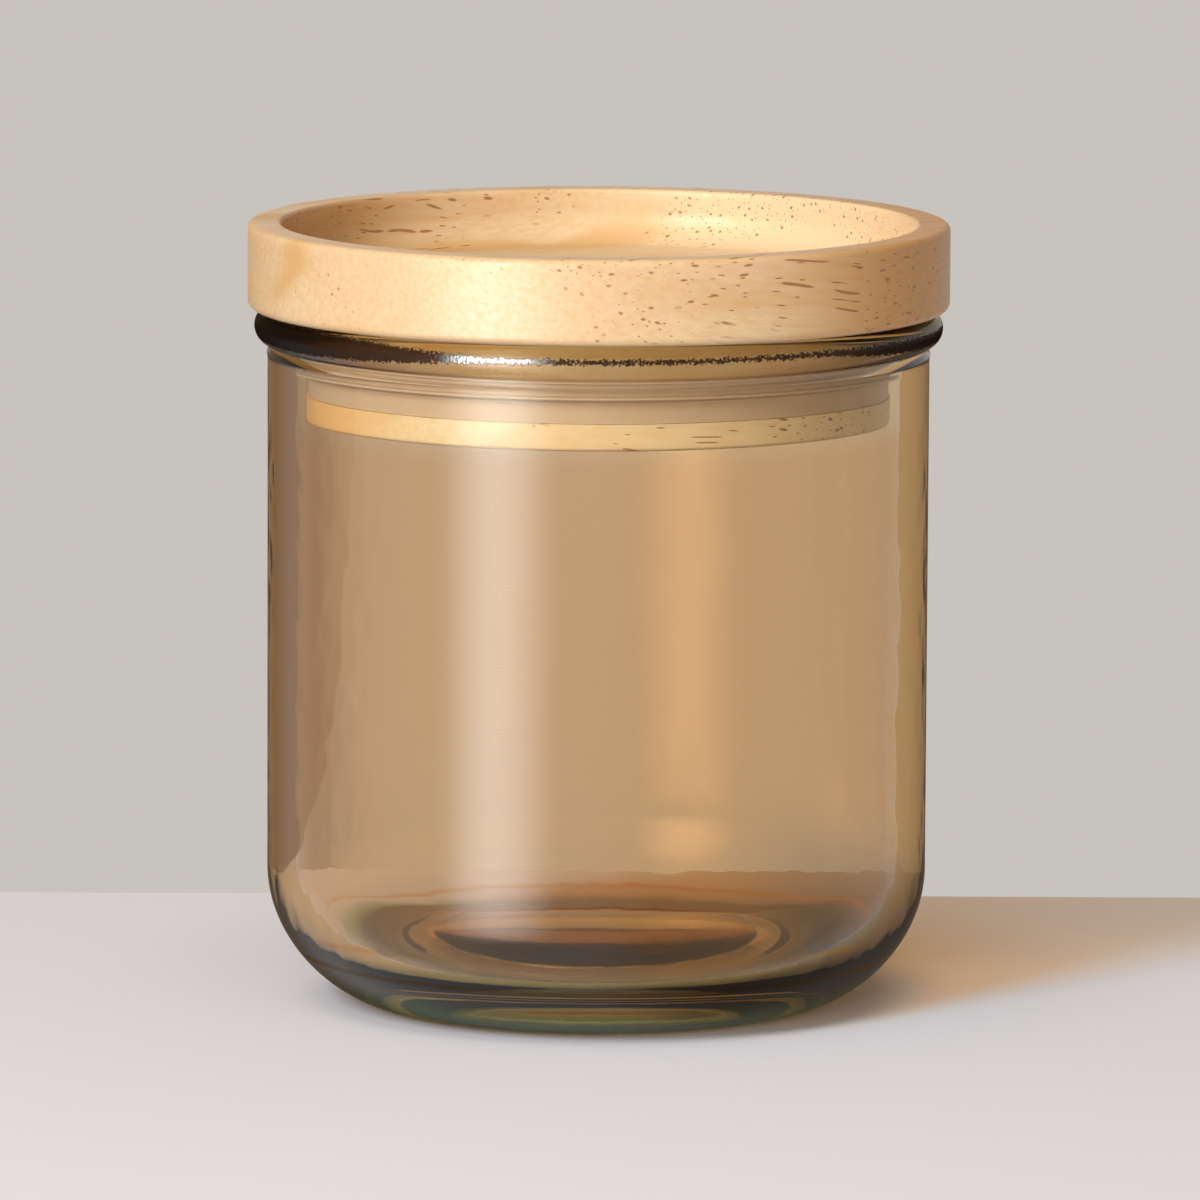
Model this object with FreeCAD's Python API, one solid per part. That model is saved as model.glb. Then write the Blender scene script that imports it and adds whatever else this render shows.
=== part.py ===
"""Empty candle jar: a thick pressed-glass jar with a turned wooden lid.

The lid is a dished cap glued to a plug disc, and a silicone seal ring sits in the plug's groove.
Every piece is turned about the Z axis. Units are millimetres, +Z is up, and the origin is the
centre of the base, on the surface that the jar stands on.
"""
import FreeCAD, Part

import math
import os

# Driving dimensions
OVERALL_HEIGHT = 114.0
CAP_RADIUS = 51.0
CAP_THICKNESS = 12.4
JAR_RADIUS = 48.1
JAR_WALL = 4.3
JAR_FLOOR = 11.0
PLUG_RADIUS = 42.4
PLUG_DEPTH = 15.7

# Cap: eased edges, and a dished recess that also seats the base of a stacked jar
CAP_TOP_EDGE = 0.9
CAP_BOTTOM_EDGE = 1.2
RECESS_RADIUS = 46.1
RECESS_DEPTH = 8.0
RECESS_COVE = 4.6
RECESS_EDGE = 0.6
CAP_SEAT_GAP = 0.05

# Plug: a groove for the seal between a lower lip and an upper shoulder
PLUG_LIP = 3.9
GROOVE_HEIGHT = 6.4
GROOVE_RADIUS = 40.6
PLUG_EDGE = 0.6

# Seal: a smooth band with two lips above it that spring against the glass
SEAL_FIT = 0.05
SEAL_BAND = 1.5
SEAL_LIPS = 2
SEAL_LOWEST_LIP = 3.1
SEAL_LIP_PITCH = 2.0
SEAL_LIP_ROOT = 1.1
SEAL_LIP_TIP = 0.5
SEAL_LIP_RISE = 0.1
SEAL_GLASS_GAP = 0.08

# Jar finish: a round bead on the rim, then a narrow neck and a fine ridge above the body
BEAD_RADIUS = 2.6
BEAD_OUTER_RADIUS = 50.05
RIM_INNER_EDGE = 1.4
NECK_DIP = 0.25
RIDGE_BELOW_RIM = 6.5
RIDGE_HEIGHT = 0.15
RIDGE_HALF_WIDTH = 0.7

# Jar heel: outer arcs from the bearing ring up to the wall, and inner arcs from the bore down to
# the trough round the floor. Each is a radius and the degrees it turns through.
HEEL_ARCS = ((12.8, 29), (22.4, 33), (19.3, 28))
INNER_HEEL_ARCS = ((14.0, 45), (8.0, 45))

# Jar floor: a shallow dome that falls to the trough through a smaller hollow arc. The dome has
# this share of the two radii.
TROUGH_HEIGHT = 8.0
FLOOR_DOME_SHARE = 0.7

# Jar base: a flat bearing ring round a stepped push-up with a flat disc in its middle
BEARING_INNER_RADIUS = 28.6
PUSH_UP_RADIUS = 27.4
PUSH_UP_DEPTH = 1.1
PUSH_UP_TAPER = 0.2
DISC_RADIUS = 23.3
DISC_DEPTH = 2.1

RIM_HEIGHT = OVERALL_HEIGHT - CAP_THICKNESS - CAP_SEAT_GAP
BORE_RADIUS = JAR_RADIUS - JAR_WALL
SAME_POINT = 1e-6


def polar(radius, degrees):
    """The offset in r and z of the point at this angle on a circle."""
    angle = math.radians(degrees)
    return radius * math.cos(angle), radius * math.sin(angle)


class Outline:
    """A closed outline in the half plane of radius r and height z, built edge by edge."""

    def __init__(self, r, z):
        self.start = self.here = (r, z)
        self.edges = []

    @staticmethod
    def vector(point):
        return FreeCAD.Vector(point[0], 0, point[1])

    def line(self, r, z):
        self.edges.append(Part.LineSegment(self.vector(self.here), self.vector((r, z))).toShape())
        self.here = (r, z)
        return self

    def arc(self, centre, radius, start_deg, end_deg):
        """A circular arc about centre, from the angle start_deg to end_deg, measured from +r."""
        points = []
        for degrees in (start_deg, (start_deg + end_deg) / 2, end_deg):
            offset = polar(radius, degrees)
            points.append((centre[0] + offset[0], centre[1] + offset[1]))
        if math.dist(points[0], self.here) > SAME_POINT:
            self.line(*points[0])
        self.edges.append(Part.Arc(*(self.vector(point) for point in points)).toShape())
        self.here = points[-1]
        return self

    def turned(self):
        """The solid that the outline makes when it is turned about the Z axis."""
        if math.dist(self.here, self.start) > SAME_POINT:
            self.line(*self.start)
        face = Part.Face(Part.Wire(self.edges))
        return face.revolve(FreeCAD.Vector(0, 0, 0), FreeCAD.Vector(0, 0, 1), 360)


def bearing_outer_radius():
    """Outer radius of the flat ring that the jar stands on, where the heel's arcs start."""
    radius, angle = JAR_RADIUS, -90
    for arc_radius, turn in HEEL_ARCS:
        radius -= polar(arc_radius, angle + turn)[0] - polar(arc_radius, angle)[0]
        angle += turn
    return radius


def outer_heel(outline):
    """Adds the heel's arcs, each tangent to the next, from the bearing ring up to the wall."""
    outline.line(bearing_outer_radius(), 0)
    angle = -90
    for radius, turn in HEEL_ARCS:
        offset = polar(radius, angle)
        centre = (outline.here[0] - offset[0], outline.here[1] - offset[1])
        outline.arc(centre, radius, angle, angle + turn)
        angle += turn


def inner_heel_and_floor(outline):
    """Adds the arcs from the bore down to the trough, then up to the floor's crown on the axis."""
    trough_radius = BORE_RADIUS
    heel_height = 0
    angle = 0
    for radius, turn in INNER_HEEL_ARCS:
        start, end = polar(radius, angle), polar(radius, angle - turn)
        trough_radius -= start[0] - end[0]
        heel_height += start[1] - end[1]
        angle -= turn

    outline.line(BORE_RADIUS, TROUGH_HEIGHT + heel_height)
    angle = 0
    for radius, turn in INNER_HEEL_ARCS:
        offset = polar(radius, angle)
        centre = (outline.here[0] - offset[0], outline.here[1] - offset[1])
        outline.arc(centre, radius, angle, angle - turn)
        angle -= turn

    slope = 2 * math.atan((JAR_FLOOR - TROUGH_HEIGHT) / trough_radius)
    both_radii = trough_radius / math.sin(slope)
    dome = both_radii * FLOOR_DOME_SHARE
    hollow = both_radii - dome
    slope_deg = math.degrees(slope)
    outline.arc((trough_radius, TROUGH_HEIGHT + hollow), hollow, -90, -90 - slope_deg)
    outline.arc((0, JAR_FLOOR - dome), dome, 90 - slope_deg, 90)


def glass_jar():
    bead_r = BEAD_OUTER_RADIUS - BEAD_RADIUS
    bead_z = RIM_HEIGHT - BEAD_RADIUS
    ridge_z = RIM_HEIGHT - RIDGE_BELOW_RIM
    neck_r = JAR_RADIUS - NECK_DIP
    neck_angle = math.degrees(math.acos((neck_r - bead_r) / BEAD_RADIUS))

    jar = Outline(0, DISC_DEPTH)
    jar.line(DISC_RADIUS, DISC_DEPTH).line(DISC_RADIUS, PUSH_UP_DEPTH + PUSH_UP_TAPER)
    jar.line(PUSH_UP_RADIUS, PUSH_UP_DEPTH).line(BEARING_INNER_RADIUS, 0)
    outer_heel(jar)
    jar.line(JAR_RADIUS, ridge_z - RIDGE_HALF_WIDTH)
    jar.line(JAR_RADIUS + RIDGE_HEIGHT, ridge_z)
    jar.line(neck_r, ridge_z + RIDGE_HALF_WIDTH)
    jar.arc((bead_r, bead_z), BEAD_RADIUS, -neck_angle, 90)
    jar.arc((BORE_RADIUS + RIM_INNER_EDGE, RIM_HEIGHT - RIM_INNER_EDGE), RIM_INNER_EDGE, 90, 180)
    inner_heel_and_floor(jar)
    return jar.turned()


def lid_cap():
    top, bottom = OVERALL_HEIGHT, OVERALL_HEIGHT - CAP_THICKNESS
    floor = top - RECESS_DEPTH
    cap = Outline(0, bottom)
    cap.arc((CAP_RADIUS - CAP_BOTTOM_EDGE, bottom + CAP_BOTTOM_EDGE), CAP_BOTTOM_EDGE, -90, 0)
    cap.arc((CAP_RADIUS - CAP_TOP_EDGE, top - CAP_TOP_EDGE), CAP_TOP_EDGE, 0, 90)
    cap.arc((RECESS_RADIUS + RECESS_EDGE, top - RECESS_EDGE), RECESS_EDGE, 90, 180)
    cap.arc((RECESS_RADIUS - RECESS_COVE, floor + RECESS_COVE), RECESS_COVE, 0, -90)
    cap.line(0, floor)
    return cap.turned()


def groove_base():
    """Height of the groove's lower face, on top of the plug's lip."""
    return OVERALL_HEIGHT - CAP_THICKNESS - PLUG_DEPTH + PLUG_LIP


def lid_plug():
    top = OVERALL_HEIGHT - CAP_THICKNESS
    bottom = top - PLUG_DEPTH
    groove = groove_base()
    plug = Outline(0, bottom)
    plug.arc((PLUG_RADIUS - PLUG_EDGE, bottom + PLUG_EDGE), PLUG_EDGE, -90, 0)
    plug.line(PLUG_RADIUS, groove).line(GROOVE_RADIUS, groove)
    plug.line(GROOVE_RADIUS, groove + GROOVE_HEIGHT).line(PLUG_RADIUS, groove + GROOVE_HEIGHT)
    plug.line(PLUG_RADIUS, top).line(0, top)
    return plug.turned()


def seal_ring():
    inner = GROOVE_RADIUS + SEAL_FIT
    band = inner + SEAL_BAND
    tip = BORE_RADIUS - SEAL_GLASS_GAP
    low = groove_base() + SEAL_FIT
    high = groove_base() + GROOVE_HEIGHT - SEAL_FIT
    seal = Outline(inner, low).line(band, low)
    for lip in range(SEAL_LIPS):
        root = low + SEAL_LOWEST_LIP + lip * SEAL_LIP_PITCH
        seal.line(band, root)
        edge = root + (SEAL_LIP_ROOT - SEAL_LIP_TIP) / 2 + SEAL_LIP_RISE
        seal.line(tip - SEAL_LIP_TIP / 2, edge)
        seal.arc((tip - SEAL_LIP_TIP / 2, edge + SEAL_LIP_TIP / 2), SEAL_LIP_TIP / 2, -90, 90)
        seal.line(band, root + SEAL_LIP_ROOT)
    seal.line(band, high).line(inner, high)
    return seal.turned()


def main():
    os.makedirs("parts", exist_ok=True)
    for make in (glass_jar, lid_cap, lid_plug, seal_ring):
        solid = make()
        if not solid.isValid() or solid.ShapeType != "Solid":
            raise RuntimeError(f"{make.__name__} is not one valid solid")
        solid.exportStep(f"parts/{make.__name__}.step")
        print(make.__name__, "volume", round(solid.Volume / 1000, 2), "cm3")


main()
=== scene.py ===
"""The looks of the empty candle jar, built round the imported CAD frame. Lengths are in metres."""
import itertools
import math

import bpy
from mathutils import Matrix, Vector, noise


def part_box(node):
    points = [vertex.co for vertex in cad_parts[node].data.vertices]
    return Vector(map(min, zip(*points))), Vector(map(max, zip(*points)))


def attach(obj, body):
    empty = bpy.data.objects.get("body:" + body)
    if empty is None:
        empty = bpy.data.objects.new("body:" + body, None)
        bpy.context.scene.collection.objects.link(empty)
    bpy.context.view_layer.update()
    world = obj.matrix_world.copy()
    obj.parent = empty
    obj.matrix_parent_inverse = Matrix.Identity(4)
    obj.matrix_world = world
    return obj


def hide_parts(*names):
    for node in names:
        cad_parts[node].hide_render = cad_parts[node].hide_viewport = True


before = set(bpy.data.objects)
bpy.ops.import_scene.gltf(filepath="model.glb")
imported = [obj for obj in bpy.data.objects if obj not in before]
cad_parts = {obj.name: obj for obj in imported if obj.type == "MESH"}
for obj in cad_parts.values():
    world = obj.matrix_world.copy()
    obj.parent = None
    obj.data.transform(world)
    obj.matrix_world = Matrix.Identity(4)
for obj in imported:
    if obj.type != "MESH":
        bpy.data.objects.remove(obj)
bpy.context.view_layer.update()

MM = 0.001

# Fineness of the meshes
TURN_STEPS = 288
OUTLINE_STEP = 1.0 * MM
ARC_PIECES = 6
SAME_POINT = 1e-7
SHARP_DEG = 32

# Places read from the frame
BASE_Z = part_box("glass_jar")[0].z
RIM_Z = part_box("glass_jar")[1].z
CAP_LOW, CAP_TOP = (corner.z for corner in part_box("lid_cap"))
PLUG_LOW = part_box("lid_plug")[0].z
CAP_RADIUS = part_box("lid_cap")[1].y
PLUG_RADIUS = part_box("lid_plug")[1].y
BEAD_OUTER_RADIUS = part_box("glass_jar")[1].y

# Jar
JAR_RADIUS = 48.1 * MM
BORE_RADIUS = 43.8 * MM
JAR_FLOOR = 11.0 * MM
BEAD_RADIUS = 2.6 * MM
RIM_INNER_EDGE = 1.4 * MM
NECK_DIP = 0.25 * MM
RIDGE_Z = RIM_Z - 6.5 * MM
RIDGE_HEIGHT = 0.15 * MM
RIDGE_HALF_WIDTH = 0.7 * MM
HEEL_ARCS = ((12.8 * MM, 29), (22.4 * MM, 33), (19.3 * MM, 28))
INNER_HEEL_ARCS = ((14.0 * MM, 45), (8.0 * MM, 45))
TROUGH_HEIGHT = 8.0 * MM
FLOOR_DOME_SHARE = 0.7
BEARING_INNER_RADIUS = 28.6 * MM
PUSH_UP_RADIUS = 27.4 * MM
PUSH_UP_DEPTH = 1.1 * MM
PUSH_UP_TAPER = 0.2 * MM
DISC_RADIUS = 23.3 * MM
DISC_DEPTH = 2.1 * MM

# Lid
CAP_TOP_EDGE = 0.9 * MM
CAP_BOTTOM_EDGE = 1.2 * MM
RECESS_RADIUS = 46.1 * MM
RECESS_DEPTH = 8.0 * MM
RECESS_COVE = 4.6 * MM
RECESS_EDGE = 0.6 * MM
PLUG_LIP = 3.9 * MM
PLUG_EDGE = 0.6 * MM
GROOVE_HEIGHT = 6.4 * MM
GROOVE_RADIUS = 40.6 * MM

# Directions of a ramp, and plain white
RISING, FALLING = (0.0, 1.0), (1.0, 0.0)
WHITE = (1, 1, 1, 1)

# Glass: its body, and what the brown coat lets through, seen once, mirrored inside the glass, and
# where it is thinner, round the plug. A Fresnel share above MIRRORED_ABOVE counts as a mirror.
GLASS_IOR = 1.5
MIRRORED_ABOVE = 0.9
BODY_TINT, BODY_DENSITY = (0.80, 0.91, 0.80, 1), 24.0
COAT_ONCE = (0.955, 0.765, 0.56, 1)
COAT_TWICE = (0.80, 0.50, 0.22, 1)
COAT_THIN = (0.98, 0.85, 0.68, 1)
THIN_FROM, THIN_UP_TO = (83.0 * MM, 87.0 * MM), (95.5 * MM, 97.5 * MM)

# Tints of the uncoated faces: round the bead's top, olive, partly the coat seen through the bead and
# partly painted shade under the cap; at the foot of the heel and under the base. The +X side of the
# heel is greyer, painted shade.
BEAD_TOP_TINT_AND_SHADE, BEAD_FROM = (0.80, 0.74, 0.58, 1), (99.4 * MM, 100.2 * MM)
HEEL_GLASS = (0.64, 0.77, 0.60, 1)
DISC_GLASS = (0.88, 0.93, 0.84, 1)
SHADED_GLASS = (0.72, 0.80, 0.94, 1)
HEEL_FROM_RADIUS = (28.5 * MM, 29.0 * MM)
FOOT_UP_TO = (3.5 * MM, 6.5 * MM)
SHADED_FROM_X, SHADED_UP_TO = (18.0 * MM, 38.0 * MM), (12.0 * MM, 28.0 * MM)

# What lamps leave of their light in the coat, low and near the rim, and in the heel and the base
COAT_LAMP = (1.0, 0.64, 0.22, 1)
COAT_LAMP_HIGH = (1.0, 1.0, 0.95, 1)
COAT_LAMP_HIGH_FROM = (80.0 * MM, 86.0 * MM)
HEEL_LAMP = (0.15, 0.11, 0.07, 1)
BASE_LAMP = (0.36, 0.38, 0.26, 1)
HEEL_LAMP_FROM_RADIUS = (29.0 * MM, 31.0 * MM)
FOOT_LAMP_UP_TO = (3.0 * MM, 9.0 * MM)

# The bead's seam, with painted shade along it. Each pair of spans is one of X and the seam's heights
# at its two ends.
SEAM_SHADE = (0.10, 0.065, 0.045, 1)
SEAM_LOW_LEFT = (-48.0 * MM, -8.0 * MM), (97.4 * MM, 99.0 * MM)
SEAM_LOW_RIGHT = (30.0 * MM, 48.0 * MM), (99.0 * MM, 97.6 * MM)
SEAM_HIGH = (-45.0 * MM, -12.0 * MM), (101.1 * MM, 99.7 * MM)
SEAM_LOW_EDGE, SEAM_HIGH_EDGE = (-0.1 * MM, 0.2 * MM), (-0.2 * MM, 0.2 * MM)
SEAM_GRAIN, SEAM_RAGGED = 2300.0, 1.6 * MM
# Near GLINT_X the seam is partly a white mirror, a painted highlight where the soft box shows.
GLINT_X, GLINT_HALF_WIDTH, GLINT_SHARE = -14.5 * MM, (3.0 * MM, 9.0 * MM), (0.45, 0.02)

# Waviness of the glass. Each wave is a share of the depth, its paces round and up the wall, and a
# seed. The finest is on the inner faces only. A wave of the floor is a depth and a pace.
WAVE_INSIDE, WAVE_OUTSIDE = 0.035 * MM, 0.004 * MM
WAVES = ((1.0, 3.0, 60, (7, 3)), (0.35, 9.0, 130, (2, 5)), (0.6, 22.0, 260, (4, 1)))
FLAT_FROM, WAVE_FADE = RIM_Z - 12 * MM, 8 * MM
WAVE_FULL_RADIUS = 30 * MM
FLOOR_WAVES, FLOOR_SEED = ((0.02 * MM, 140), (0.006 * MM, 500)), 0.3

# How far beyond the bore and below the trough a point still counts as inside
WAVE_REACH, COAT_REACH = (0.1 * MM, 0.1 * MM), (0.6 * MM, 0.5 * MM)

# Woods: colours, the way the fibres run, and the side that gets a deeper, warmer colour as painted
# shade
CAP_WOOD = {
    "pale": (0.65, 0.49, 0.30, 1), "tan": (0.56, 0.32, 0.12, 1), "rosy": (0.65, 0.43, 0.26, 1),
    "deep": (0.50, 0.25, 0.065, 1), "shade_towards": (1.0, 0.0, 0.0),
    "fibre_deg": 38, "offset": (0, 0, 0),
}
PLUG_WOOD = {
    "pale": (0.80, 0.70, 0.50, 1), "tan": (0.74, 0.50, 0.24, 1), "rosy": (0.80, 0.60, 0.37, 1),
    "deep": (0.84, 0.42, 0.07, 1), "shade_towards": (-1.0, 0.0, 0.0),
    "fibre_deg": 20, "offset": (0.3, 0.1, 0.2),
}
FIBRE_TILT_DEG = (4, -3)
RING_OFFSET = (0, 55 * MM, 30 * MM)
PATCH_PACE, FIBRE_PACE = (18, 45, 45), (90, 1300, 1300)
FIGURE_RINGS, FIGURE_PATCHES, FIGURE_SHARE = (0.35, 0.95), (0.42, 0.68), 0.9
ROSY_PATCHES, ROSY_SHARE = (0.62, 0.40), (0.0, 0.5)
FIBRE_SPAN, FIBRE_SHARE = (0.35, 0.72), (0.0, 0.42)
FIBRE_RELIEF, FIBRE_GLOSS, WOOD_ROUGHNESS = 0.25, (0.2, 0.8), (0.34, 0.48)
# How far and how strongly the deeper side's painted shade reaches
SIDE_SHADE_FROM, SIDE_SHADE_SHARE = (20.0 * MM, 49.0 * MM), (0.0, 0.95)

# The tray's painted shade, darker on its left, and painted light with sheen, paler on its right
TRAY_FROM_HEIGHT, TRAY_UP_TO_RADIUS = (105.0 * MM, 105.5 * MM), (46.2 * MM, 46.8 * MM)
TRAY_PAINTED_SHADE, TRAY_SHADE_X, TRAY_SHADE_SHARE = (0.46, 0.24, 0.08, 1), (-42.0 * MM, -20.0 * MM), (0.8, 0.0)
TRAY_PAINTED_LIGHT, TRAY_LIGHT_X, TRAY_LIGHT_SHARE = (0.80, 0.64, 0.42, 1), (-20.0 * MM, 30.0 * MM), (0.0, 0.5)

# Pores: two sizes, each a pitch and a length in mm and how sparse they are. Widths are shares of
# the pitch. They grow denser towards the cap's right and in the tray's left, and none lies in the
# band behind the bead.
PORE_SIZES = ((2.4, 9.0, 0.47), (1.2, 6.0, 0.51))
PORE_WIDTH = 0.11
PORE_SWERVE, SWERVE_PACE = 1.1, 120
PORE, PORE_SHARE = (0.29, 0.12, 0.04, 1), 0.88
PORES_TOWARDS = (4.4, 0.8, 0.0)
TRAY_PORES_X, TRAY_PORES = (-30.0 * MM, 0.0), (0.22, -0.12)
PORE_REGION_PACE, PORE_REGION_EDGE = 70.0, 0.05
PORES_ABOVE, PORES_BELOW = (101.8 * MM, 102.4 * MM), (95.0 * MM, 96.5 * MM)

# Silicone and table
SILICONE, SILICONE_DARK = (0.72, 0.56, 0.42, 1), (0.66, 0.50, 0.36, 1)
SILICONE_CLOUD, SILICONE_ROUGHNESS = (0.3, 0.7), (0.3, 0.42)
TABLE_PAINT, TABLE_DARKER, TABLE_ROUGHNESS = (0.70, 0.735, 0.84, 1), 0.97, 0.33
TABLE_LOW, TABLE_HIGH = (-0.9, -0.95, -0.02), (0.9, 0.0887, 0.0)

# Lights: azimuth from the camera's side (+ is its right), elevation, size, watts and colour
LIGHT_DISTANCE, LIGHT_TARGET = 2.0, (0, 0, 0.06)
LIGHTS = {
    "key": (-37, 33, (0.45, 1.0), 31.0, (1, 1, 1)),
    "fill": (-12, 12, (1.0, 0.5), 15.0, (1.0, 0.93, 0.84)),
    "top": (-20, 72, (1.0, 1.0), 12.0, (1.0, 0.84, 0.66)),
}

# Studio: its colours, and the angles and heights of the direction looked at where they change.
# The table's are what the glass mirrors of it, TABLE_UNDER where the ray goes away from the camera.
BACKDROP = (0.575, 0.545, 0.51, 1)
CEILING, CEILING_FROM = (0.20, 0.19, 0.18, 1), (0.25, 0.6)
LEFT_WALL = (0.29, 0.21, 0.12, 1)
LEFT_WALL_NEAR, LEFT_WALL_FAR = (-17, -4), (-100, -70)
FILL_TINT = (1.0, 0.81, 0.60, 1)
TABLE_LIT = (0.66, 0.635, 0.63, 1)
TABLE_SHADED, SHADED_TOWARDS_X = (0.30, 0.23, 0.17, 1), (-0.1, 0.4)
TABLE_UNDER, UNDER_TOWARDS_Y = (0.16, 0.11, 0.07, 1), (0.6, 0.95)
HORIZON = (-0.10, -0.05)
SOFT_BOX = (4.6, 4.7, 4.8, 1)
SOFT_BOX_IN_TABLE = (12.4, 14.0, 16.0, 1)
BOX_AZIMUTH, BOX_SPREAD = -36.0, 24.0
BOX_BOTTOM, BOX_TOP = (-0.6, -0.35), (0.3, 0.9)

# Camera, fitted to the outlines of the lid, the rim and the base
CAMERA_PLACE = (0.00038, -1.6, 0.2849)
CAMERA_TILT_DEG, CAMERA_ROLL_DEG = 8.052, 0.275
LENS_MM, SENSOR_MM = 332.4, 36.0
CLIP = (0.05, 50.0)


def polar(radius, degrees):
    """The point at this angle on a circle."""
    angle = math.radians(degrees)
    return Vector((radius * math.cos(angle), radius * math.sin(angle)))


class Outline:
    """Points of an outline in the half plane of radius r and height z."""

    def __init__(self, r, z):
        self.points = [Vector((r, z))]

    def line(self, r, z):
        start, end = self.points[-1], Vector((r, z))
        pieces = max(1, math.ceil((end - start).length / OUTLINE_STEP))
        self.points += [start.lerp(end, (i + 1) / pieces) for i in range(pieces)]
        return self

    def arc(self, centre, radius, start_deg, end_deg):
        """Joins on an arc about centre, from the angle start_deg to end_deg, measured from +r."""
        first = Vector(centre) + polar(radius, start_deg)
        if (first - self.points[-1]).length > SAME_POINT:
            self.line(*first)
        length = radius * math.radians(abs(end_deg - start_deg))
        pieces = max(ARC_PIECES, math.ceil(length / OUTLINE_STEP * 2))
        for i in range(pieces):
            degrees = start_deg + (end_deg - start_deg) * (i + 1) / pieces
            self.points.append(Vector(centre) + polar(radius, degrees))
        return self


def turned(name, points, shape=None):
    """A closed mesh made by turning points about Z, from one point on the axis to another.
    shape(r, z, angle) moves each vertex that is off the axis."""
    vertices, rings = [], []
    for r, z in points:
        ring = []
        count = TURN_STEPS if r > SAME_POINT else 1
        for i in range(count):
            angle = 2 * math.pi * i / TURN_STEPS
            rr, zz = shape(r, z, angle) if shape and count > 1 else (r, z)
            ring.append(len(vertices))
            vertices.append((rr * math.cos(angle), rr * math.sin(angle), zz))
        rings.append(ring)
    faces = []
    for low, high in zip(rings, rings[1:]):
        for i in range(TURN_STEPS):
            j = (i + 1) % TURN_STEPS
            if len(low) == 1:
                faces.append((low[0], high[j], high[i]))
            elif len(high) == 1:
                faces.append((low[i], low[j], high[0]))
            else:
                faces.append((low[i], low[j], high[j], high[i]))
    mesh = bpy.data.meshes.new(name)
    mesh.from_pydata(vertices, [], faces)
    mesh.polygons.foreach_set("use_smooth", [True] * len(faces))
    mesh.set_sharp_from_angle(angle=math.radians(SHARP_DEG))
    piece = bpy.data.objects.new(name, mesh)
    bpy.context.scene.collection.objects.link(piece)
    return piece


def add_heel(outline):
    """Adds the heel's arcs, each tangent to the next, from the bearing ring up to the wall."""
    radius, angle = JAR_RADIUS, -90
    for arc_radius, turn in HEEL_ARCS:
        radius -= polar(arc_radius, angle + turn).x - polar(arc_radius, angle).x
        angle += turn
    outline.line(radius, BASE_Z)
    angle = -90
    for arc_radius, turn in HEEL_ARCS:
        centre = outline.points[-1] - polar(arc_radius, angle)
        outline.arc(centre, arc_radius, angle, angle + turn)
        angle += turn


def add_floor(outline):
    """Adds the arcs from the bore down to the trough, then up to the floor's crown on the axis."""
    trough = Vector((BORE_RADIUS, 0))
    angle = 0
    for radius, turn in INNER_HEEL_ARCS:
        trough += polar(radius, angle - turn) - polar(radius, angle)
        angle -= turn
    outline.line(BORE_RADIUS, TROUGH_HEIGHT - trough.y)
    angle = 0
    for radius, turn in INNER_HEEL_ARCS:
        outline.arc(outline.points[-1] - polar(radius, angle), radius, angle, angle - turn)
        angle -= turn
    slope = 2 * math.atan((JAR_FLOOR - TROUGH_HEIGHT) / trough.x)
    both_radii = trough.x / math.sin(slope)
    dome = both_radii * FLOOR_DOME_SHARE
    hollow = both_radii - dome
    slope_deg = math.degrees(slope)
    outline.arc((trough.x, TROUGH_HEIGHT + hollow), hollow, -90, -90 - slope_deg)
    outline.arc((0, JAR_FLOOR - dome), dome, 90 - slope_deg, 90)


def jar_outline():
    bead = Vector((BEAD_OUTER_RADIUS - BEAD_RADIUS, RIM_Z - BEAD_RADIUS))
    neck = JAR_RADIUS - NECK_DIP
    neck_deg = math.degrees(math.acos((neck - bead.x) / BEAD_RADIUS))
    jar = Outline(0, DISC_DEPTH)
    jar.line(DISC_RADIUS, DISC_DEPTH).line(DISC_RADIUS, PUSH_UP_DEPTH + PUSH_UP_TAPER)
    jar.line(PUSH_UP_RADIUS, PUSH_UP_DEPTH).line(BEARING_INNER_RADIUS, BASE_Z)
    add_heel(jar)
    jar.line(JAR_RADIUS, RIDGE_Z - RIDGE_HALF_WIDTH)
    jar.line(JAR_RADIUS + RIDGE_HEIGHT, RIDGE_Z)
    jar.line(neck, RIDGE_Z + RIDGE_HALF_WIDTH)
    jar.arc(bead, BEAD_RADIUS, -neck_deg, 90)
    inner_edge = (BORE_RADIUS + RIM_INNER_EDGE, RIM_Z - RIM_INNER_EDGE)
    jar.arc(inner_edge, RIM_INNER_EDGE, 90, 180)
    add_floor(jar)
    return jar.points


def cap_outline():
    floor = CAP_TOP - RECESS_DEPTH
    cap = Outline(0, CAP_LOW)
    cap.arc((CAP_RADIUS - CAP_BOTTOM_EDGE, CAP_LOW + CAP_BOTTOM_EDGE), CAP_BOTTOM_EDGE, -90, 0)
    cap.arc((CAP_RADIUS - CAP_TOP_EDGE, CAP_TOP - CAP_TOP_EDGE), CAP_TOP_EDGE, 0, 90)
    cap.arc((RECESS_RADIUS + RECESS_EDGE, CAP_TOP - RECESS_EDGE), RECESS_EDGE, 90, 180)
    cap.arc((RECESS_RADIUS - RECESS_COVE, floor + RECESS_COVE), RECESS_COVE, 0, -90)
    cap.line(0, floor)
    return cap.points


def plug_outline():
    groove = PLUG_LOW + PLUG_LIP
    plug = Outline(0, PLUG_LOW)
    plug.arc((PLUG_RADIUS - PLUG_EDGE, PLUG_LOW + PLUG_EDGE), PLUG_EDGE, -90, 0)
    plug.line(PLUG_RADIUS, groove).line(GROOVE_RADIUS, groove)
    plug.line(GROOVE_RADIUS, groove + GROOVE_HEIGHT).line(PLUG_RADIUS, groove + GROOVE_HEIGHT)
    plug.line(PLUG_RADIUS, CAP_LOW).line(0, CAP_LOW)
    return plug.points


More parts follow.
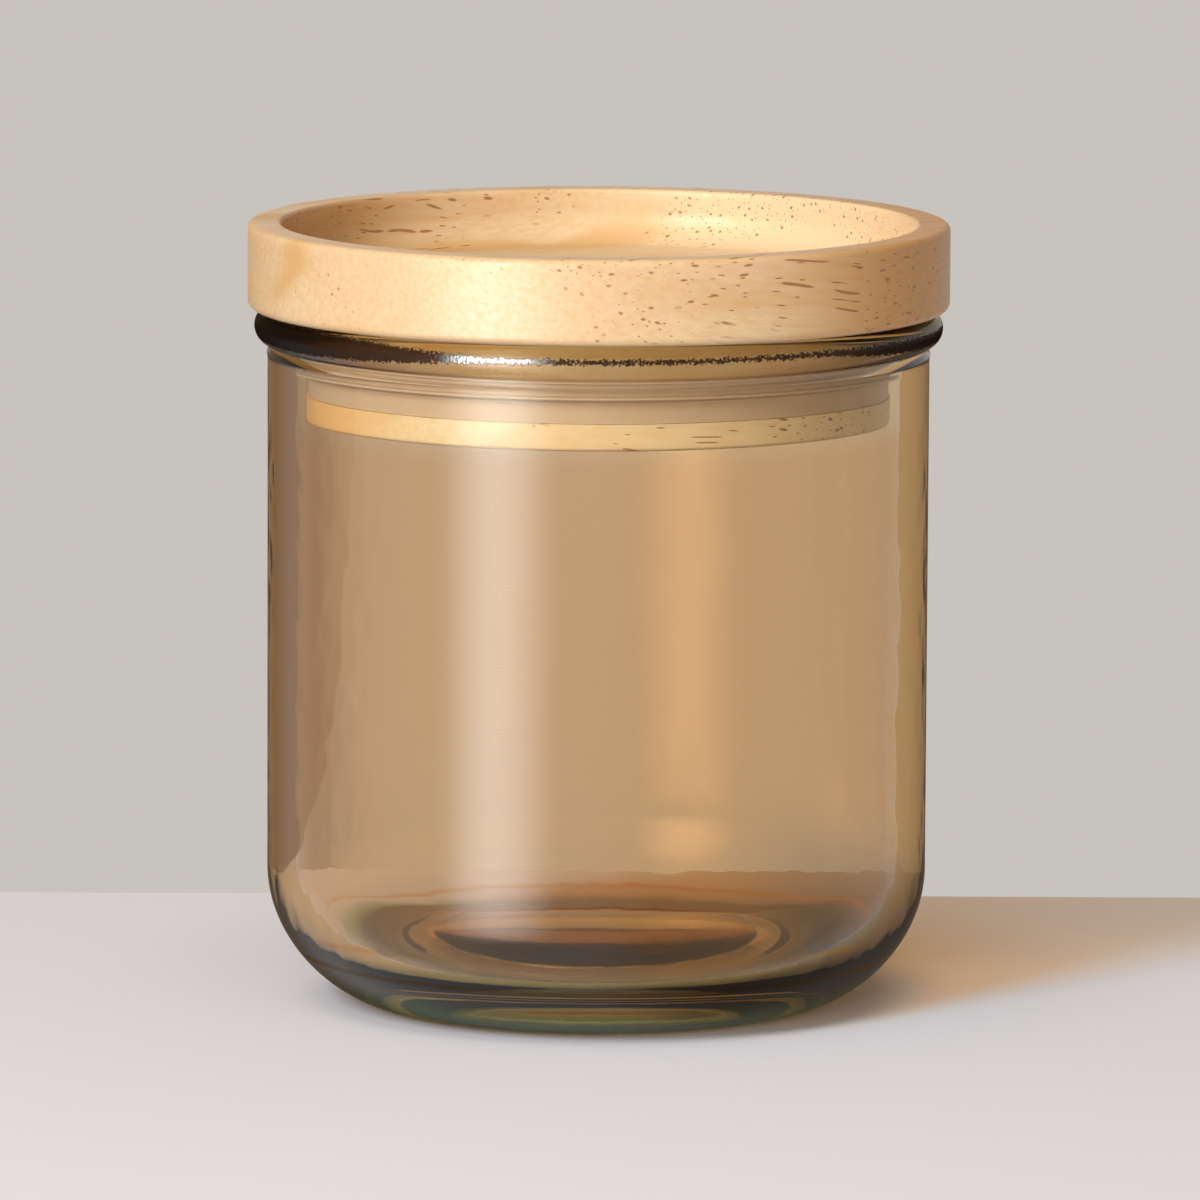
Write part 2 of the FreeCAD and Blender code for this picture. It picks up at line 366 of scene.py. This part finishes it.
class Nodes:
    """A short way to write a node tree."""

    def __init__(self, material):
        material.use_nodes = True
        self.tree = material.node_tree
        self.tree.nodes.clear()

    def add(self, kind, settings=None, **inputs):
        """A node. Its inputs go by name, with _ for a space, or by number, as _0, _1."""
        node = self.tree.nodes.new(kind)
        for key, value in (settings or {}).items():
            setattr(node, key, value)
        for key, value in inputs.items():
            socket = int(key[1:]) if key[1:].isdigit() else key.replace("_", " ")
            self.put(node.inputs[socket], value)
        return node

    def put(self, socket, value):
        if isinstance(value, bpy.types.NodeSocket):
            self.tree.links.new(value, socket)
        elif isinstance(value, bpy.types.Node):
            self.tree.links.new(value.outputs[0], socket)
        else:
            socket.default_value = value

    def math(self, operation, a, b=0.0):
        return self.add("ShaderNodeMath", {"operation": operation}, _0=a, _1=b).outputs[0]

    def times(self, *factors):
        product = factors[0]
        for factor in factors[1:]:
            product = self.math("MULTIPLY", product, factor)
        return product

    def minus(self, a, b):
        return self.math("SUBTRACT", a, b)

    def vector(self, operation, output=0, **inputs):
        return self.add("ShaderNodeVectorMath", {"operation": operation}, **inputs).outputs[output]

    def mapping(self, vector, **inputs):
        return self.add("ShaderNodeMapping", Vector=vector, **inputs).outputs[0]

    def noise(self, vector, scale, detail, output=0):
        node = self.add("ShaderNodeTexNoise", Vector=vector, Scale=scale, Detail=detail)
        return node.outputs[output]

    def ramp(self, factor, span, ends=RISING):
        """factor taken smoothly from the span's two values to the two ends."""
        return self.add("ShaderNodeMapRange", {"interpolation_type": "SMOOTHSTEP"}, Value=factor,
                        From_Min=span[0], From_Max=span[1], To_Min=ends[0], To_Max=ends[1]).outputs[0]

    def mix(self, factor, a, b, blend="MIX"):
        node = self.tree.nodes.new("ShaderNodeMix")
        node.data_type = "RGBA"
        node.blend_type = blend
        for index, value in ((0, factor), (6, a), (7, b)):
            self.put(node.inputs[index], value)
        return node.outputs[2]

    def place(self):
        return self.add("ShaderNodeTexCoord").outputs["Object"]

    def axes(self, place):
        """A place's X, its height and its distance from the axis."""
        axes = self.add("ShaderNodeSeparateXYZ", Vector=place).outputs
        radius = self.vector("LENGTH", "Value", _0=self.vector("MULTIPLY", _0=place, _1=(1, 1, 0)))
        return axes["X"], axes["Z"], radius


def seam_and_shade_mask(n, across, height, grain):
    """Where the bead's mould line and the painted shade along it lie: thick at its left, thin in the
    middle, with ragged edges.
    """
    ragged = n.math("ADD", height, n.times(n.minus(grain, 0.5), SEAM_RAGGED))
    low = n.math("MINIMUM", n.ramp(across, *SEAM_LOW_LEFT), n.ramp(across, *SEAM_LOW_RIGHT))
    high = n.ramp(across, *SEAM_HIGH)
    return n.times(n.ramp(n.minus(ragged, low), SEAM_LOW_EDGE),
                   n.ramp(n.minus(ragged, high), SEAM_HIGH_EDGE, FALLING))


def outside_tint(n, across, height, radius, seam_and_shade, uncoated):
    """The colour of the glass's uncoated faces, with painted shade on the bead and on the heel's +X
    side.
    """
    # Painted shade: the heel's +X side is greyer
    shaded = n.times(n.ramp(across, SHADED_FROM_X), n.ramp(height, SHADED_UP_TO, FALLING))
    foot = n.mix(n.ramp(radius, HEEL_FROM_RADIUS), DISC_GLASS, HEEL_GLASS)
    tint = n.mix(n.ramp(height, FOOT_UP_TO, FALLING), n.mix(shaded, WHITE, SHADED_GLASS), foot)
    # The bead's top under the cap: an olive tint, partly the coat seen through the bead, partly
    # painted shade
    above = n.times(n.ramp(height, BEAD_FROM), uncoated)
    return n.mix(seam_and_shade, n.mix(above, tint, BEAD_TOP_TINT_AND_SHADE), SEAM_SHADE)


def lamp_tint(n, height, radius, coat):
    """What a face leaves of the light of a lamp behind it."""
    coated = n.mix(n.ramp(height, COAT_LAMP_HIGH_FROM), COAT_LAMP, COAT_LAMP_HIGH)
    foot = n.mix(n.ramp(radius, HEEL_LAMP_FROM_RADIUS), BASE_LAMP, HEEL_LAMP)
    clear = n.mix(n.ramp(height, FOOT_LAMP_UP_TO, FALLING), WHITE, foot)
    return n.mix(coat, clear, coated)


def glass():
    """Pressed glass with a brown coat on its inner faces. The mesh's coat attribute says where."""
    material = bpy.data.materials.new("tinted_glass")
    n = Nodes(material)
    coat = n.add("ShaderNodeAttribute", {"attribute_name": "coat"}).outputs["Fac"]
    uncoated = n.minus(1.0, coat)
    place = n.place()
    across, height, radius = n.axes(place)
    mirrored = n.math("GREATER_THAN", n.add("ShaderNodeFresnel", IOR=GLASS_IOR), MIRRORED_ABOVE)
    thin = n.times(n.ramp(height, THIN_FROM), n.ramp(height, THIN_UP_TO, FALLING))
    inside = n.mix(mirrored, n.mix(thin, COAT_ONCE, COAT_THIN), COAT_TWICE)

    grain = n.noise(place, SEAM_GRAIN, 2.0)
    # The bead's mould line, and a band of painted shade along it
    seam_and_shade = n.times(seam_and_shade_mask(n, across, height, grain), uncoated)
    outside = outside_tint(n, across, height, radius, seam_and_shade, uncoated)
    bump = n.add("ShaderNodeBump", Height=n.times(grain, seam_and_shade), Strength=0.5, Distance=0.2 * MM)
    surface = n.add("ShaderNodeBsdfGlass", Color=n.mix(coat, outside, inside), Roughness=0.0,
                    IOR=GLASS_IOR, Normal=bump)
    glint = n.add("ShaderNodeBsdfGlossy", Color=WHITE, Roughness=0.0, Normal=bump)
    # A painted highlight: a white mirror along the seam near GLINT_X
    from_glint = n.math("ABSOLUTE", n.minus(across, GLINT_X))
    share = n.times(seam_and_shade, n.ramp(from_glint, GLINT_HALF_WIDTH, GLINT_SHARE))
    surface = n.add("ShaderNodeMixShader", _0=share, _1=surface, _2=glint)

    through = n.add("ShaderNodeBsdfTransparent", Color=lamp_tint(n, height, radius, coat))
    to_lamp = n.add("ShaderNodeLightPath").outputs["Is Shadow Ray"]
    surface = n.add("ShaderNodeMixShader", _0=to_lamp, _1=surface, _2=through)
    body = n.add("ShaderNodeVolumeAbsorption", Color=BODY_TINT, Density=BODY_DENSITY)
    n.add("ShaderNodeOutputMaterial", Surface=surface, Volume=body)
    return material


def figured(n, turn, pale, tan, rosy):
    """The wood's colour, with soft rings and patches and fine fibres, and the fibres alone."""
    rings = n.add("ShaderNodeTexWave", {"wave_type": "RINGS", "rings_direction": "X"},
                  Vector=n.mapping(turn, Location=RING_OFFSET),
                  Scale=24.0, Distortion=3.5, Detail=2.0, Detail_Scale=1.4).outputs[1]
    patches = n.noise(n.mapping(turn, Scale=PATCH_PACE), 1.0, 2.0)
    fibres = n.noise(n.mapping(turn, Scale=FIBRE_PACE), 1.0, 3.0)
    figure = n.times(n.ramp(rings, FIGURE_RINGS), n.ramp(patches, FIGURE_PATCHES), FIGURE_SHARE)
    colour = n.mix(figure, pale, tan)
    colour = n.mix(n.ramp(patches, ROSY_PATCHES, ROSY_SHARE), colour, rosy)
    return n.mix(n.ramp(fibres, FIBRE_SPAN, FIBRE_SHARE), colour, tan), fibres


def with_painted_light_and_shade(n, colour, place, across, tray, deep, shade_towards):
    """The colour, deeper towards one side as painted shade, with painted shade darker on the tray's
    left and painted light paler on its right.
    """
    # Painted shade: a deeper, warmer colour towards one side
    aside = n.vector("DOT_PRODUCT", "Value", _0=place, _1=shade_towards)
    share = n.times(n.ramp(aside, SIDE_SHADE_FROM, SIDE_SHADE_SHARE), n.minus(1.0, tray))
    colour = n.mix(share, colour, deep)
    # Painted shade on the tray's left
    dark = n.times(tray, n.ramp(across, TRAY_SHADE_X, TRAY_SHADE_SHARE))
    colour = n.mix(dark, colour, TRAY_PAINTED_SHADE)
    # Painted light and sheen on the tray's right
    pale = n.times(tray, n.ramp(across, TRAY_LIGHT_X, TRAY_LIGHT_SHARE))
    return n.mix(pale, colour, TRAY_PAINTED_LIGHT)


def pores(n, turn, place, across, height, tray):
    """Where the pores lie. They are spots across the fibres, drawn out along them as they swerve:
    the fibres run along Z in along_z, and the flat Voronoi leaves Z out."""
    region = n.math("ADD", n.noise(place, PORE_REGION_PACE, 2.0),
                    n.vector("DOT_PRODUCT", "Value", _0=place, _1=PORES_TOWARDS))
    region = n.math("ADD", region, n.times(tray, n.ramp(across, TRAY_PORES_X, TRAY_PORES)))
    along_z = n.mapping(turn, Rotation=(0, math.radians(90), 0))
    sizes = []
    for pitch, length, sparse in PORE_SIZES:
        paces = (1 / (length * MM), SWERVE_PACE, SWERVE_PACE)
        bend = n.noise(n.mapping(turn, Scale=paces), 1.0, 0.0, output="Color")
        cell = n.add("ShaderNodeVectorMath", {"operation": "SCALE"}, _0=along_z,
                     Scale=1 / (pitch * MM)).outputs[0]
        cell = n.vector("MULTIPLY_ADD", _0=bend, _1=(PORE_SWERVE, PORE_SWERVE, 0.0), _2=cell)
        spots = n.add("ShaderNodeTexVoronoi", {"feature": "F1", "voronoi_dimensions": "2D"},
                      Vector=cell, Scale=1.0)
        pore = n.ramp(spots.outputs["Distance"], (PORE_WIDTH / 2, PORE_WIDTH), FALLING)
        crowd = n.ramp(region, (sparse - PORE_REGION_EDGE, sparse + PORE_REGION_EDGE))
        sizes.append(n.times(pore, crowd))
    shown = n.math("MAXIMUM", n.ramp(height, PORES_ABOVE), n.ramp(height, PORES_BELOW, FALLING))
    return n.times(n.math("MAXIMUM", *sizes), shown)


def wood(name, pale, tan, rosy, deep, shade_towards, fibre_deg, offset):
    """Rubberwood: pale, with soft tan figure, fine fibres and brown pores that run along them."""
    material = bpy.data.materials.new(name)
    n = Nodes(material)
    place = n.place()
    across, height, radius = n.axes(place)
    tilt = [math.radians(degrees) for degrees in (*FIBRE_TILT_DEG, -fibre_deg)]
    turn = n.mapping(place, Location=offset, Rotation=tilt)
    tray = n.times(n.ramp(height, TRAY_FROM_HEIGHT), n.ramp(radius, TRAY_UP_TO_RADIUS, FALLING))
    colour, fibres = figured(n, turn, pale, tan, rosy)
    # Painted shade on one side of the wood and in the tray's left, painted light on the tray's right
    colour = with_painted_light_and_shade(n, colour, place, across, tray, deep, shade_towards)
    pore = pores(n, turn, place, across, height, tray)
    colour = n.mix(n.times(pore, PORE_SHARE), colour, PORE)
    relief = n.minus(n.times(fibres, FIBRE_RELIEF), pore)
    bump = n.add("ShaderNodeBump", Height=relief, Strength=0.35, Distance=0.12 * MM)
    surface = n.add("ShaderNodeBsdfPrincipled", Base_Color=colour, Normal=bump, IOR=1.45,
                    Roughness=n.ramp(fibres, FIBRE_GLOSS, WOOD_ROUGHNESS),
                    Coat_Weight=0.25, Coat_Roughness=0.3)
    n.add("ShaderNodeOutputMaterial", Surface=surface)
    return material


def silicone():
    """Soft translucent silicone, faintly clouded."""
    material = bpy.data.materials.new("silicone")
    n = Nodes(material)
    cloud = n.noise(n.place(), 120.0, 3.0)
    surface = n.add("ShaderNodeBsdfPrincipled", Base_Color=n.mix(cloud, SILICONE, SILICONE_DARK),
                    Roughness=n.ramp(cloud, SILICONE_CLOUD, SILICONE_ROUGHNESS),
                    IOR=1.41, Transmission_Weight=0.2)
    n.add("ShaderNodeOutputMaterial", Surface=surface)
    return material


def table_paint():
    """Matt paint for the camera, with a gloss that only the glass mirrors."""
    material = bpy.data.materials.new("table")
    n = Nodes(material)
    cloud = n.noise(n.place(), 9.0, 4.0)
    darker = tuple(c * TABLE_DARKER for c in TABLE_PAINT[:3]) + (1,)
    seen = n.add("ShaderNodeLightPath").outputs["Is Camera Ray"]
    surface = n.add("ShaderNodeBsdfPrincipled", Base_Color=n.mix(cloud, TABLE_PAINT, darker),
                    Roughness=TABLE_ROUGHNESS, Specular_IOR_Level=n.times(n.minus(1.0, seen), 0.5))
    n.add("ShaderNodeOutputMaterial", Surface=surface)
    return material


def dress(piece, body, node, material):
    piece.data.materials.append(material)
    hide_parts(node)
    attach(piece, body)


def is_inside(r, z, reach):
    """Whether a point of the jar is on its inner faces, or within reach of them."""
    return r < BORE_RADIUS + reach[0] and z > TROUGH_HEIGHT - reach[1]


def wavy(r, z, angle):
    """Moves a point of the jar by the unevenness of pressed glass, never past the true outline."""
    inside = is_inside(r, z, WAVE_REACH)
    around = Vector((math.cos(angle), math.sin(angle), 0))
    wave = sum(share * noise.noise(around * pace + Vector((*seed, z * climb)))
               for share, pace, climb, seed in (WAVES if inside else WAVES[:-1]))
    fade = min(1.0, r / WAVE_FULL_RADIUS) * min(1.0, max(0.0, (FLAT_FROM - z) / WAVE_FADE))
    depth = fade * (WAVE_INSIDE if inside else WAVE_OUTSIDE)
    if inside and z < JAR_FLOOR + WAVE_REACH[1]:
        place = Vector((r * math.cos(angle), r * math.sin(angle), FLOOR_SEED))
        z += sum(height * noise.noise(place * pace) for height, pace in FLOOR_WAVES)
    return r + depth * wave - (0 if inside else depth), z


def make_jar():
    jar = turned("jar_glass", jar_outline(), wavy)
    coat = jar.data.attributes.new("coat", "FLOAT", "POINT")
    places = [vertex.co for vertex in jar.data.vertices]
    coated = [is_inside(math.hypot(p.x, p.y), p.z, COAT_REACH) for p in places]
    coat.data.foreach_set("value", [float(value) for value in coated])
    dress(jar, "jar", "glass_jar", glass())


def make_lid():
    cap_wood, plug_wood = wood("lid_wood", **CAP_WOOD), wood("plug_wood", **PLUG_WOOD)
    dress(turned("cap_wood", cap_outline()), "lid", "lid_cap", cap_wood)
    dress(turned("plug_wood", plug_outline()), "lid", "lid_plug", plug_wood)


def make_seal():
    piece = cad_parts["seal_ring"]
    piece.data.materials.clear()
    piece.data.materials.append(silicone())


def make_table():
    """The floor ends behind the jar, where the table does."""
    corners = list(itertools.product(*zip(TABLE_LOW, TABLE_HIGH)))
    faces = [(0, 1, 3, 2), (4, 6, 7, 5), (0, 4, 5, 1), (2, 3, 7, 6), (0, 2, 6, 4), (1, 5, 7, 3)]
    mesh = bpy.data.meshes.new("table")
    mesh.from_pydata(corners, [], faces)
    table = bpy.data.objects.new("table", mesh)
    bpy.context.scene.collection.objects.link(table)
    mesh.materials.append(table_paint())
    table.visible_glossy = False


def area_light(name, azimuth, elevation, size, watts, colour):
    """A rectangle of light that faces the jar and that the glass neither shows nor mirrors."""
    a, e = math.radians(azimuth), math.radians(elevation)
    away = Vector((math.sin(a) * math.cos(e), -math.cos(a) * math.cos(e), math.sin(e)))
    data = bpy.data.lights.new(name, "AREA")
    data.shape = "RECTANGLE"
    data.size, data.size_y = size
    data.energy = watts
    data.color = colour
    light = bpy.data.objects.new(name, data)
    light.location = Vector(LIGHT_TARGET) + away * LIGHT_DISTANCE
    light.rotation_mode = "QUATERNION"
    light.rotation_quaternion = away.to_track_quat("Z", "Y")
    light.visible_transmission = False
    light.visible_glossy = False
    bpy.context.scene.collection.objects.link(light)


def studio():
    """A pale backdrop all round under a dim ceiling, darker to the jar's left, and a tall soft
    box at the front left. The camera sees the backdrop alone. Matt surfaces don't pick up the soft
    box: it stands for what the glass and the table's gloss mirror of the key. What the glass
    mirrors of the table is here too."""
    world = bpy.data.worlds.new("studio")
    n = Nodes(world)
    direction = n.add("ShaderNodeTexCoord").outputs["Generated"]
    x, y, z = n.add("ShaderNodeSeparateXYZ", Vector=direction).outputs
    behind = n.math("ARCTAN2", x, y)
    front = n.math("ARCTAN2", x, n.times(y, -1.0))
    path = n.add("ShaderNodeLightPath").outputs
    unseen = n.minus(1.0, path["Is Camera Ray"])
    sharp = path["Is Singular Ray"]

    left = n.times(n.ramp(behind, [math.radians(a) for a in LEFT_WALL_NEAR], FALLING),
                   n.ramp(behind, [math.radians(a) for a in LEFT_WALL_FAR]), unseen)
    ceiling = n.times(n.ramp(z, CEILING_FROM), unseen)
    around = n.mix(left, n.mix(ceiling, BACKDROP, CEILING), LEFT_WALL)
    around = n.mix(path["Is Diffuse Ray"], around, n.mix(1.0, around, FILL_TINT, "MULTIPLY"))

    table = n.mix(n.ramp(x, SHADED_TOWARDS_X), TABLE_LIT, TABLE_SHADED)
    table = n.mix(n.ramp(y, UNDER_TOWARDS_Y), table, TABLE_UNDER)
    below = n.times(n.ramp(z, HORIZON, FALLING), path["Is Reflection Ray"], sharp)
    around = n.mix(below, around, table)

    aside = n.math("ABSOLUTE", n.minus(front, math.radians(BOX_AZIMUTH)))
    box = n.times(n.ramp(aside, (0.0, math.radians(BOX_SPREAD)), FALLING),
                  n.ramp(z, BOX_TOP, FALLING), n.ramp(z, BOX_BOTTOM))
    glossy = n.math("LESS_THAN", path["Diffuse Depth"], 0.5)
    deep = n.math("GREATER_THAN", path["Ray Depth"], 1.5)
    box = n.times(box, glossy, n.math("MAXIMUM", sharp, deep))
    colour = n.mix(box, around, n.mix(sharp, SOFT_BOX_IN_TABLE, SOFT_BOX))
    n.add("ShaderNodeOutputWorld", Surface=n.add("ShaderNodeBackground", Color=colour, Strength=1.0))
    world.cycles.sampling_method = "NONE"
    bpy.context.scene.world = world


def make_light():
    for name, settings in LIGHTS.items():
        area_light(name, *settings)
    studio()
    bpy.context.scene.view_settings.view_transform = "Standard"


def make_camera():
    data = bpy.data.cameras.new("camera")
    data.lens, data.sensor_width = LENS_MM, SENSOR_MM
    data.clip_start, data.clip_end = CLIP
    camera = bpy.data.objects.new("camera", data)
    camera.location = CAMERA_PLACE
    camera.rotation_mode = "QUATERNION"
    tilt = Matrix.Rotation(math.radians(90 - CAMERA_TILT_DEG), 3, "X")
    roll = Matrix.Rotation(math.radians(CAMERA_ROLL_DEG), 3, "Z")
    camera.rotation_quaternion = (tilt @ roll).to_quaternion()
    bpy.context.scene.collection.objects.link(camera)
    bpy.context.scene.camera = camera


make_camera()
make_jar()
make_lid()
make_seal()
make_table()
make_light()
